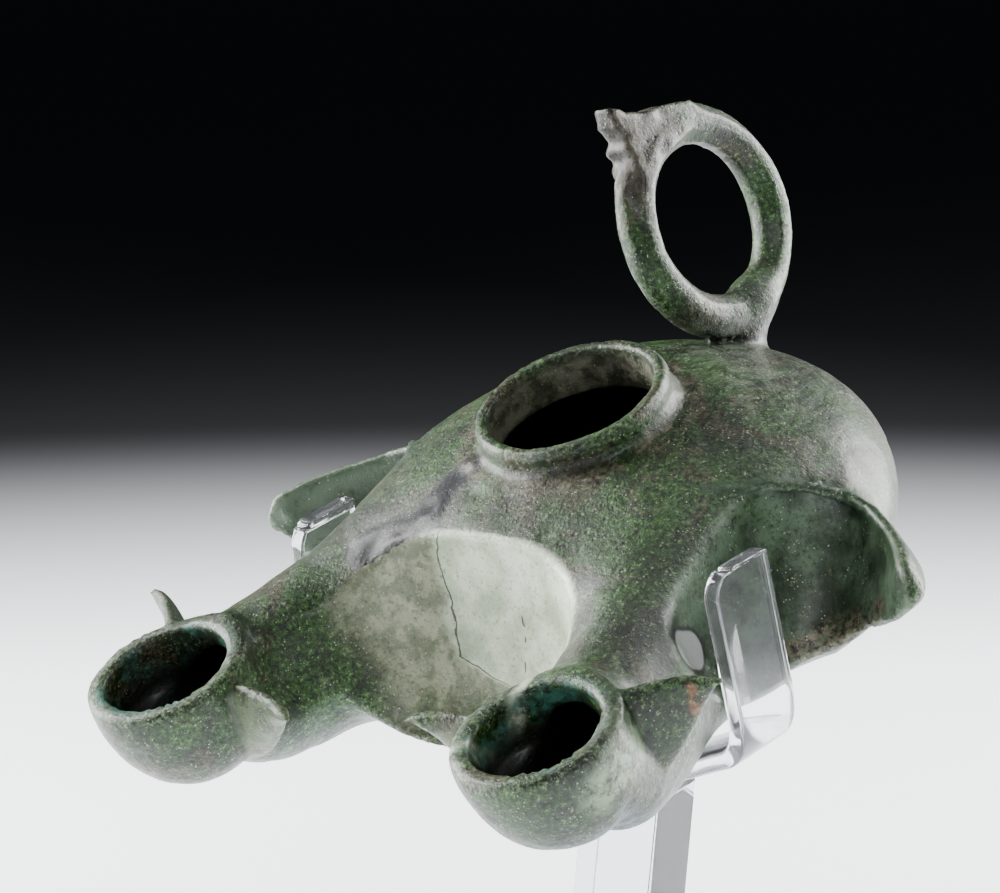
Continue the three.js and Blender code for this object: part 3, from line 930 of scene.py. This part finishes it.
def add_node(tree, kind, settings=None, **inputs):
    node = tree.nodes.new(kind)
    for key, value in (settings or {}).items():
        setattr(node, key, value)
    for key, value in inputs.items():
        numbered = key[0] == "i" and key[1:].isdigit()
        socket = node.inputs[int(key[1:]) if numbered else key.replace("_", " ")]
        if isinstance(value, bpy.types.NodeSocket):
            tree.links.new(value, socket)
        else:
            socket.default_value = value
    return node


def new_material(name):
    material = bpy.data.materials.new(name)
    material.use_nodes = True
    material.node_tree.nodes.clear()
    return material, material.node_tree


print("mid green is", [round(c, 3) for c in linear("#4c5f45")])

# %% [markdown]
# ## Bronze patina
#
# Buried bronze grows a skin of copper minerals: green malachite, dark cuprite and some blue
# azurite, with pale lime from the soil. The skin itself isn't metal, so metallic is low, but
# it is dense and has been waxed, so it still has a sheen. Grains a little under a millimetre
# across give its sparkle. Colour patches are 4 to 15 mm across.

# %% Patina building blocks
patina_material, patina_tree = new_material("waxed_bronze_patina")
place = add_node(patina_tree, "ShaderNodeTexCoord").outputs["Object"]


def noise(size_mm, detail=3.0, roughness=0.5, warp=0.0):
    return add_node(patina_tree, "ShaderNodeTexNoise", None, Vector=place, Scale=1 / (size_mm * MM),
                    Detail=detail, Roughness=roughness, Distortion=warp).outputs["Fac"]


def cells(size_mm):
    return add_node(patina_tree, "ShaderNodeTexVoronoi", None, Vector=place,
                    Scale=1 / (size_mm * MM)).outputs["Distance"]


def between(value, low, high):
    """0 below `low` and 1 above `high`, or the other way round when low is the larger."""
    flip = low > high
    return add_node(patina_tree, "ShaderNodeMapRange", {"interpolation_type": "SMOOTHSTEP"},
                    Value=value, From_Min=min(low, high), From_Max=max(low, high),
                    To_Min=float(flip), To_Max=float(not flip)).outputs["Result"]


def combine(kind, a, b):
    return add_node(patina_tree, "ShaderNodeMath", {"operation": kind}, i0=a, i1=b).outputs[0]


def times(*values):
    total = values[0]
    for value in values[1:]:
        total = combine("MULTIPLY", total, value)
    return total


def tint(share, under, over):
    """A share of `over` laid on `under`, each a hex colour or a socket."""
    under, over = (linear(c) if isinstance(c, str) else c for c in (under, over))
    return add_node(patina_tree, "ShaderNodeMix", {"data_type": "RGBA"}, i0=share, i6=under,
                    i7=over).outputs[2]


def mask(name):
    return add_node(patina_tree, "ShaderNodeAttribute", {"attribute_name": name}).outputs["Fac"]


grain = noise(0.8, 4.0, 0.8)
mottle = noise(3.8, 6.0, 0.7)
patches = noise(15.0, 5.0, 0.6, 0.5)
print("patina blocks ready:", len(patina_tree.nodes), "nodes")

# %% [markdown]
# ### Green ground, grains and specks
#
# The ground shifts between dark olive and a fresher malachite green over a centimetre or two.
# On it lie dark cuprite grains and pale lime grains, a little under a millimetre across, which
# make the surface sparkle under the wax. Brown soil stain comes and goes.

# %% Ground colours
ground = tint(between(patches, 0.36, 0.64), "#14240d", "#2a5219")
ground = tint(times(between(noise(11.0, 5.0, 0.65, 0.8), 0.48, 0.64), 0.8), ground, "#463b28")
ground = tint(times(between(mottle, 0.52, 0.7), 0.5), ground, "#566a49")
ground = tint(times(between(noise(6.0, 5.0, 0.7), 0.56, 0.7), 0.45), ground, "#27572c")
ground = tint(times(between(grain, 0.52, 0.43), 0.95), ground, "#040803")
ground = tint(times(between(grain, 0.57, 0.66), 0.65), ground, "#889f72")
specks = times(between(cells(0.7), 0.24, 0.1), between(noise(2.6, 3.0), 0.5, 0.62))
print("ground colour mixes", len(patina_tree.nodes), "nodes so far")

# %% [markdown]
# ### The hollows and their cracks
#
# The patina is smoother in the pressed hollows: pale grey-green in the middle one and dark
# sage in the side ones, greyer high up in the far one. In the middle hollow the ground on the
# lamp's right of the long crack is browner. The shader draws a hair-thin line where the stored
# distance to a crack, wavered by noise, passes zero.

# %% Hollow colours and cracks
niche_middle = mask("niche_middle")
niche_side = mask("niche_side")
waver = combine("MULTIPLY", combine("SUBTRACT", noise(6.0, 4.0, 0.55), 0.5), 5.0)
crack_gap = combine("ADD", mask("long_crack"), waver)
crack_line = times(between(combine("ABSOLUTE", crack_gap, 0.0), 0.3, 0.1), mask("long_crack_span"))
short_gap = combine("ADD", mask("short_crack"), combine("MULTIPLY", waver, 0.4))
short_line = times(between(combine("ABSOLUTE", short_gap, 0.0), 0.22, 0.06), mask("short_crack_span"),
                   between(noise(2.2), 0.42, 0.5))
cracks = combine("MAXIMUM", crack_line, short_line)
pale = tint(between(noise(9.0, 5.0, 0.6), 0.35, 0.65), "#9fae92", "#d3dcc6")
pale = tint(times(between(grain, 0.46, 0.36), 0.55), pale, "#5d6a55")
stained = tint(between(mottle, 0.4, 0.6), "#555943", "#94957c")
stained = tint(times(between(grain, 0.46, 0.36), 0.6), stained, "#343a2c")
pale = tint(times(between(crack_gap, 0.5, -2.5), 0.85), pale, stained)
bare = combine("SUBTRACT", 1.0, times(between(mottle, 0.6, 0.75), 0.6))
colour = tint(times(niche_middle, bare), ground, pale)
sage = tint(between(noise(7.0, 5.0, 0.6), 0.35, 0.65), "#22301f", "#5b7058")
sage = tint(times(between(grain, 0.48, 0.38), 0.7), sage, "#1c241e")
colour = tint(times(niche_side, between(mottle, 0.7, 0.5)), colour, sage)
colour = tint(times(mask("niche_far"), between(mottle, 0.7, 0.5)), colour, "#5f6e5c")
colour = tint(times(cracks, 0.85), colour, "#2a2d26")
print("hollows and cracks done:", len(patina_tree.nodes), "nodes")

# %% [markdown]
# ### Crusts, mouths and small marks
#
# The mouths carry turquoise where salts crept out, though only in patches. A blue-black crust
# runs down from the collar, a brown gritty one lines the left wing's lower edge, and dirt
# gathers round the collar's foot. A lime patch and a thread of rust are each one mark, and a
# pale patch on the dome is one more, a painted sheen. The paler edges, part wear and part
# painted highlight, the painted shade in creases and the inside painted dark as shade go over
# all the rest.

# %% Marks
teal = tint(between(noise(2.4, 4.0, 0.6), 0.4, 0.62), "#1b3029", "#4c8a7c")
colour = tint(times(mask("mouth"), between(noise(6.0, 4.0, 0.6), 0.46, 0.6), 0.8), colour, teal)
bore_skin = tint(between(mottle, 0.4, 0.6), "#4c4c40", "#8b8b79")
colour = tint(times(mask("bore"), 0.8), colour, bore_skin)
colour = tint(times(mask("cup_pale"), between(mottle, 0.62, 0.42)), colour, "#8ea184")
crust_edge = combine("ADD", mask("crust"), combine("SUBTRACT", noise(3.0, 5.0, 0.65), 0.5))
crust_skin = tint(between(grain, 0.56, 0.66), "#08090e", "#474c5a")
colour = tint(between(crust_edge, 0.3, 0.45), colour, crust_skin)
grit = tint(between(noise(1.1, 4.0, 0.7), 0.4, 0.6), "#15140f", "#6f6955")
colour = tint(times(mask("wing_crust"), between(noise(2.6, 4.0, 0.6), 0.38, 0.5)), colour, grit)
colour = tint(times(mask("collar_crust"), between(noise(4.0, 4.0, 0.6), 0.4, 0.56), 0.85), colour, grit)
torn = tint(between(mottle, 0.42, 0.62), "#1c1811", "#4a4435")
colour = tint(times(mask("leaf_break"), 0.9), colour, torn)
patch_edge = times(between(mask("grey_patch"), 0.05, 0.2), between(mask("grey_patch"), 0.6, 0.35))
colour = tint(times(between(mask("grey_patch"), 0.3, 0.5), 0.9), colour, "#a9ada8")
colour = tint(times(patch_edge, 0.8), colour, "#23241f")
colour = tint(times(mask("rust"), between(noise(1.5), 0.35, 0.55)), colour, "#8a5a35")
# painted sheen: a pale patch on the dome
colour = tint(times(mask("painted_sheen"), between(noise(3.0, 5.0, 0.7), 0.42, 0.6), 0.3), colour, "#87937f")
colour = tint(times(mask("ridge"), 0.75), colour, "#26402b")
colour = tint(times(mask("horn_pale"), between(mottle, 0.66, 0.44), 0.5), colour, "#7f8c6e")
colour = tint(times(specks, 0.7), colour, "#cfd6c2")
whole = combine("SUBTRACT", 1.0, combine("MAXIMUM", niche_middle, mask("leaf_break")))
# paler sharp edges: partly wear, partly a painted highlight
worn_and_highlit_edge = times(mask("worn_and_highlit_edge"), whole, between(grain, 0.46, 0.62))
colour = tint(times(worn_and_highlit_edge, 0.35), colour, "#8fa07c")
# painted shade in creases
colour = tint(times(mask("painted_crease_shade"), 0.7), colour, "#10150e")
# the inside painted near black as shade
colour = tint(times(mask("inner"), 0.95), colour, "#090a08")
print("marks done:", len(patina_tree.nodes), "nodes")

# %% [markdown]
# ### Sheen and fine relief
#
# The wax fills some of the pores, so roughness changes from spot to spot, from satin to nearly
# matt. A weak coat stands for the wax itself. Grains and pits finer than the mesh can hold are
# drawn by a bump map. The hollows are smoother than the outside, so the bump is weaker there.

# %% Patina shader
roughness = add_node(patina_tree, "ShaderNodeMapRange", None, Value=noise(2.2, 4.0, 0.65),
                     From_Min=0.3, From_Max=0.7, To_Min=0.3, To_Max=0.55).outputs["Result"]
roughness = combine("MAXIMUM", roughness, times(mask("crust"), 0.75))
height = combine("ADD", times(grain, 0.75), times(noise(2.0, 4.0, 0.7), 0.6))
height = combine("ADD", height, times(between(cells(1.7), 0.28, 0.06), -0.3))
height = combine("SUBTRACT", height, times(cracks, 0.7))
height = combine("ADD", height, times(specks, 0.25))
calm_share = combine("SUBTRACT", 1.0, times(combine("MAXIMUM", niche_middle, niche_side), 0.5))
bump = add_node(patina_tree, "ShaderNodeBump", None, Height=times(height, calm_share),
                Distance=0.42 * MM, Strength=1.0)
shader = add_node(patina_tree, "ShaderNodeBsdfPrincipled", None, Base_Color=colour, Metallic=0.1,
                  Specular_IOR_Level=0.38, Roughness=roughness, Normal=bump.outputs["Normal"],
                  Coat_Weight=0.3, Coat_Roughness=0.3)
add_node(patina_tree, "ShaderNodeOutputMaterial", None, Surface=shader.outputs["BSDF"])
lamp.data.materials.append(patina_material)
print("patina has", len(patina_tree.nodes), "nodes")

# %% [markdown]
# ## The acrylic cradle
#
# The cradle is one strip of clear acrylic, 14 by 3 mm, heated and bent into two arms that hold
# the lamp in its side hollows. It is glued to a leaning post on a square foot. Its places are
# given in millimetres from the middle of the collar's rim too, but without the lamp's tilt.

# %% Cradle values
STRIP_WIDTH = 14.0
STRIP_THICKNESS = 3.0
STRIP_TIP = np.array([13.0, 43.4, -21.5])
STRIP_BEND = np.array([6.0, 45.0, -50.0])
STRIP_SEAT = np.array([-18.0, 5.0, -64.0])
POST_WIDTH = 16.0
POST_DEPTH = 11.0
POST_FOOT_FORWARD = 5.5
FOOT_SIZE = 84.0
FOOT_THICKNESS = 8.0
FOOT_CORNER = 6.0
GLUE_GAP = 0.3
SEAT_DIP = 1.6
QUARTERS = ((1, 1), (-1, 1), (-1, -1), (1, -1))
strip_lean = math.atan2(STRIP_TIP[0] - STRIP_BEND[0], STRIP_TIP[2] - STRIP_BEND[2])
print("the arms lean forward", round(math.degrees(strip_lean)), "degrees")

# %% [markdown]
# ## The strip's path and section
#
# A bent strip is best swept: a section is carried along a path. Half of the path runs from
# one tip down the arm, round the bend and in to the seat, and the other half is its mirror
# image. Heat bends a strip round a former, so each corner of the path is a soft curve. The
# section is a flat oblong with its four edges slightly rounded.

# %% Strip path and section
STRIP_EDGE = 0.55


def rounded_corner(start, corner, end, steps):
    t = np.linspace(0, 1, steps + 1)[:, None]
    return (1 - t)**2 * start + 2 * t * (1 - t) * corner + t**2 * end


def strip_path():
    lower = STRIP_BEND + 0.25 * (STRIP_TIP - STRIP_BEND)
    inner = STRIP_BEND + 0.16 * (STRIP_SEAT - STRIP_BEND)
    near = STRIP_SEAT + 0.12 * (STRIP_BEND - STRIP_SEAT)
    middle = np.array([STRIP_SEAT[0], 0, STRIP_SEAT[2] - SEAT_DIP])
    top = STRIP_TIP + (lower - STRIP_TIP) * np.linspace(0, 1, 70)[:-1, None]
    leg = inner + (near - inner) * np.linspace(0, 1, 8)[1:-1, None]
    half = np.concatenate([top, rounded_corner(lower, STRIP_BEND, inner, 14), leg,
                           rounded_corner(near, STRIP_SEAT, middle, 8)])
    return np.concatenate([half, half[-2::-1] * (1, -1, 1)])


def rounded_section(width, thickness, radius, steps=4):
    corners = []
    for k, (u, v) in enumerate(QUARTERS):
        for angle in np.linspace(0, math.pi / 2, steps + 1) + k * math.pi / 2:
            corners.append((u * (width / 2 - radius) + radius * math.cos(angle),
                            v * (thickness / 2 - radius) + radius * math.sin(angle)))
    return np.array(corners)


strip_line = strip_path()
strip_length = np.linalg.norm(np.diff(strip_line, axis=0), axis=1).sum()
print("the strip was", round(float(strip_length)), "mm long before it was bent")

# %% [markdown]
# ## Sweeping the strip
#
# The section is turned to stand across the path at each step, with its wide side along one
# fixed axis. The front corner of each tip is filed round, so the section gets narrower from
# the front there. A few smaller and smaller rings round off the cut end, and the last one is
# closed with a single face.

# %% Sweep with rounded ends
TIP_CORNER = 4.8
CAP_TURNS = np.radians((30, 60, 88))


def swept(path, wide_axis, section, end_rounding):
    """The section carried along the path; its front corner is rounded off near each tip."""
    rings = []
    front = section[:, 0].max()
    ahead = np.gradient(path, axis=0)
    run = np.concatenate([[0], np.cumsum(np.linalg.norm(np.diff(path, axis=0), axis=1))])
    for k, point in enumerate(path):
        out = np.cross(wide_axis, ahead[k])
        out /= np.linalg.norm(out)
        short = max(TIP_CORNER - min(run[k], run[-1] - run[k]), 0)
        trim = TIP_CORNER - math.sqrt(max(TIP_CORNER**2 - short**2, 0))
        wide = section[:, 0] - np.clip(section[:, 0] / front, 0, 1) * trim
        rings.append(point + wide[:, None] * wide_axis + section[:, 1:] * out)
    rings = np.array(rings)
    for k, inner in ((0, 1), (len(path) - 1, -2)):
        along = path[k] - path[inner]
        along /= np.linalg.norm(along)
        centre = rings[k].mean(0)
        caps = []
        for turn in CAP_TURNS:
            spokes = np.linalg.norm(rings[k] - centre, axis=1)
            shrink = 1 - (1 - math.cos(turn)) * end_rounding / spokes
            caps.append(centre + (rings[k] - centre) * shrink[:, None]
                        + along * end_rounding * (math.sin(turn) - 1))
        rings[k] = rings[k] - along * end_rounding
        caps = np.array(caps)
        rings = np.concatenate([caps[::-1], rings]) if k == 0 else np.concatenate([rings, caps])
    return rings


wide_axis = np.array([math.cos(strip_lean), 0, -math.sin(strip_lean)])
strip_section = rounded_section(STRIP_WIDTH, STRIP_THICKNESS, STRIP_EDGE)
strip_rings = swept(strip_line, wide_axis, strip_section, STRIP_EDGE)
print("strip sweep has", len(strip_rings), "rings of", strip_rings.shape[1])

# %% [markdown]
# ## From rings to closed pieces
#
# The strip, the post and the foot are all rows of rings, so one helper joins them: four-sided
# faces from ring to ring and one flat face at each end. If the volume comes out negative, the
# faces point inwards and are flipped.

# %% Closed pieces and the strip
def closed_skin(rings):
    size = rings.shape[1]
    rows = np.arange(len(rings) - 1)[:, None] * size
    k = np.arange(size)
    after = (k + 1) % size
    quads = np.stack([rows + k, rows + after, rows + size + after, rows + size + k], -1)
    last = (len(rings) - 1) * size
    ends = [list(range(size))[::-1], list(range(last, last + size))]
    return rings.reshape(-1, 3), quads.reshape(-1, 4).tolist() + ends


def plain_mesh(name, points, faces):
    mesh = bpy.data.meshes.new(name)
    mesh.from_pydata([tuple(p) for p in points], [], faces)
    mesh.validate()
    mesh.update()
    piece = bpy.data.objects.new(name, mesh)
    bpy.context.scene.collection.objects.link(piece)
    return piece


def closed_piece(name, rings):
    points, faces = closed_skin(rings)
    piece = plain_mesh(name, points * MM, faces)
    volume = sum(p.center.dot(p.normal) * p.area for p in piece.data.polygons)
    if volume < 0:
        piece.data.flip_normals()
    return piece


strip = closed_piece("acrylic_strip", strip_rings + RIM_CENTRE)
strip.data.shade_smooth()
print("strip has", len(strip.data.polygons), "faces")

# %% [markdown]
# ## The post and the foot
#
# Both are cut from thicker sheet. The post leans, and its top follows the slope of the strip
# that rests on it. The foot is a square with rounded corners. A narrow bevel stands for the
# flame-polished edges, and it shows as a bright line. A thin gap is left at each glued joint,
# so no two faces lie in one place.

# %% Post and foot
POST_BEVEL = 0.4
FOOT_BEVEL = 0.8


def bevelled(piece, width_mm, segments):
    bevel = piece.modifiers.new("softened_edges", "BEVEL")
    bevel.width = width_mm * MM
    bevel.segments = segments
    bevel.limit_method = "ANGLE"
    bevel.angle_limit = math.radians(40)
    piece.data.shade_smooth()
    bevel.harden_normals = True


def post_rings():
    seat = RIM_CENTRE + STRIP_SEAT
    slope = math.tan(strip_lean)
    top = seat[2] - SEAT_DIP - STRIP_THICKNESS / 2 / math.cos(strip_lean) - GLUE_GAP
    low = [(seat[0] + POST_FOOT_FORWARD + u * POST_DEPTH / 2, v * POST_WIDTH / 2,
            FOOT_THICKNESS + GLUE_GAP) for u, v in QUARTERS]
    high = [(seat[0] + u * POST_DEPTH / 2, v * POST_WIDTH / 2, top - u * POST_DEPTH * slope / 2)
            for u, v in QUARTERS]
    return np.array([low, high])


post = closed_piece("acrylic_post", post_rings())
bevelled(post, POST_BEVEL, 2)


def foot_rings():
    outline = rounded_section(FOOT_SIZE, FOOT_SIZE, FOOT_CORNER, 8)
    return np.array([np.column_stack([outline, np.full(len(outline), height)])
                     for height in (0, FOOT_THICKNESS)])


foot = closed_piece("acrylic_foot", foot_rings())
bevelled(foot, FOOT_BEVEL, 3)
for piece, node in ((strip, "cradle_strip"), (post, "cradle_post"), (foot, "cradle_foot")):
    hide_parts(node)
    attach(piece, "root")
    print(piece.name, "has", len(piece.data.polygons), "faces")

# %% [markdown]
# ## Clear acrylic
#
# Cast acrylic is as clear as glass but bends light a little less, with an IOR of 1.49. Sawn
# edges are polished with a flame, which leaves them glossy. A faint waviness from that and a
# breath of surface haze keep it from looking like nothing at all.

# %% Acrylic material
def clear_acrylic():
    material, tree = new_material("cast_acrylic")
    place = add_node(tree, "ShaderNodeTexCoord").outputs["Object"]
    haze = add_node(tree, "ShaderNodeTexNoise", None, Vector=place, Scale=1 / (6 * MM), Detail=4.0)
    rough = add_node(tree, "ShaderNodeMapRange", None, Value=haze.outputs["Fac"], From_Min=0.4,
                     From_Max=0.75, To_Min=0.015, To_Max=0.09)
    wave = add_node(tree, "ShaderNodeTexNoise", None, Vector=place, Scale=1 / (9 * MM), Detail=1.0)
    bump = add_node(tree, "ShaderNodeBump", None, Height=wave.outputs["Fac"],
                    Distance=0.08 * MM, Strength=0.5)
    shader = add_node(tree, "ShaderNodeBsdfPrincipled", None, Base_Color=linear("#f8fafc"),
                      Metallic=0.0, IOR=1.49, Transmission_Weight=0.96,
                      Roughness=rough.outputs["Result"], Normal=bump.outputs["Normal"])
    add_node(tree, "ShaderNodeOutputMaterial", None, Surface=shader.outputs["BSDF"])
    return material


acrylic = clear_acrylic()
for piece in (strip, post, foot):
    piece.data.materials.append(acrylic)
print("acrylic is on", [p.name for p in (strip, post, foot)])

# %% [markdown]
# ## The floor
#
# Museums often stand an object on a lit sheet that falls away into shadow. Here that light is
# painted into the floor: it glows near the lamp, a painted pool of light, and its colour is
# painted from pale to a deep grey by 0.85 m out, a painted falloff into shade.
# It runs far back, so it fills the view. It is a stage and not part of the object.

# %% Floor
FLOOR_REACH = 14
GLOW_START = 0.1
GLOW_END = 0.85
GLOW_STRENGTH = 1.35
floor_corners = [(u * FLOOR_REACH, v * FLOOR_REACH, 0) for u, v in ((-1, -1), (1, -1), (1, 1), (-1, 1))]
floor = plain_mesh("studio_floor", floor_corners, [[0, 1, 2, 3]])
floor_paint, floor_tree = new_material("painted_light_floor")
floor_place = add_node(floor_tree, "ShaderNodeTexCoord").outputs["Object"]
far_out = add_node(floor_tree, "ShaderNodeVectorMath", {"operation": "LENGTH"}, Vector=floor_place)
# painted light: the glow is strongest near the lamp and fades with distance
glow = add_node(floor_tree, "ShaderNodeMapRange", {"interpolation_type": "SMOOTHSTEP"},
                Value=far_out.outputs["Value"], From_Min=GLOW_START, From_Max=GLOW_END,
                To_Min=GLOW_STRENGTH, To_Max=0.0)
# painted shade: pale near the lamp, deep grey farther out
painted_floor_falloff = add_node(floor_tree, "ShaderNodeMix", {"data_type": "RGBA"}, i0=glow.outputs["Result"],
                 i6=linear("#2a2c30"), i7=linear("#f1f3f6"))
floor_shader = add_node(floor_tree, "ShaderNodeBsdfPrincipled", None, Base_Color=painted_floor_falloff.outputs[2],
                        Roughness=0.9, Emission_Color=linear("#eef2f8"),
                        Emission_Strength=glow.outputs["Result"])
add_node(floor_tree, "ShaderNodeOutputMaterial", None, Surface=floor_shader.outputs["BSDF"])
floor.data.materials.append(floor_paint)
print("floor is", 2 * FLOOR_REACH, "m across")

# %% [markdown]
# ## The lights
#
# A tall soft box stands on each side, slightly behind the lamp, and a small weak one hangs
# above and in front. The two side boxes draw long soft highlights along the rims and hollows,
# which tell the eye that the surface is dense and waxed. Each place is metres to the right,
# up, and towards the camera from the middle of the lamp.

# %% Lights
def soft_box(name, place, target, size, power):
    light = bpy.data.lights.new(name, "AREA")
    light.shape = "RECTANGLE"
    light.size, light.size_y = size
    light.energy = power
    box = bpy.data.objects.new(name, light)
    bpy.context.scene.collection.objects.link(box)
    box.location = place
    box.rotation_euler = (Vector(place) - Vector(target)).to_track_quat("Z", "Y").to_euler()


SOFT_BOXES = [
    ("right_box", (0.55, 0.2, -0.32), (0.3, 0.7), 18.0),
    ("left_box", (-0.55, 0.16, -0.22), (0.3, 0.7), 20.0),
    ("front_box", (0.2, 0.6, 0.75), (0.4, 0.3), 3.2),
]
lamp_middle = Vector((0.02, 0.0, 0.09))
ground_right = Vector((CAMERA_RIGHT.x, CAMERA_RIGHT.y, 0)).normalized()
ground_back = Vector((CAMERA_BACK.x, CAMERA_BACK.y, 0)).normalized()
straight_up = Vector((0, 0, 1))
for name, (right, high, near), size, power in SOFT_BOXES:
    stand = lamp_middle + ground_right * right + straight_up * high + ground_back * near
    soft_box(name, stand, lamp_middle, size, power)
world = bpy.data.worlds.new("studio_air")
world.use_nodes = True
world.node_tree.nodes["Background"].inputs["Color"].default_value = linear("#a9b0ba")
world.node_tree.nodes["Background"].inputs["Strength"].default_value = 0.06
bpy.context.scene.world = world
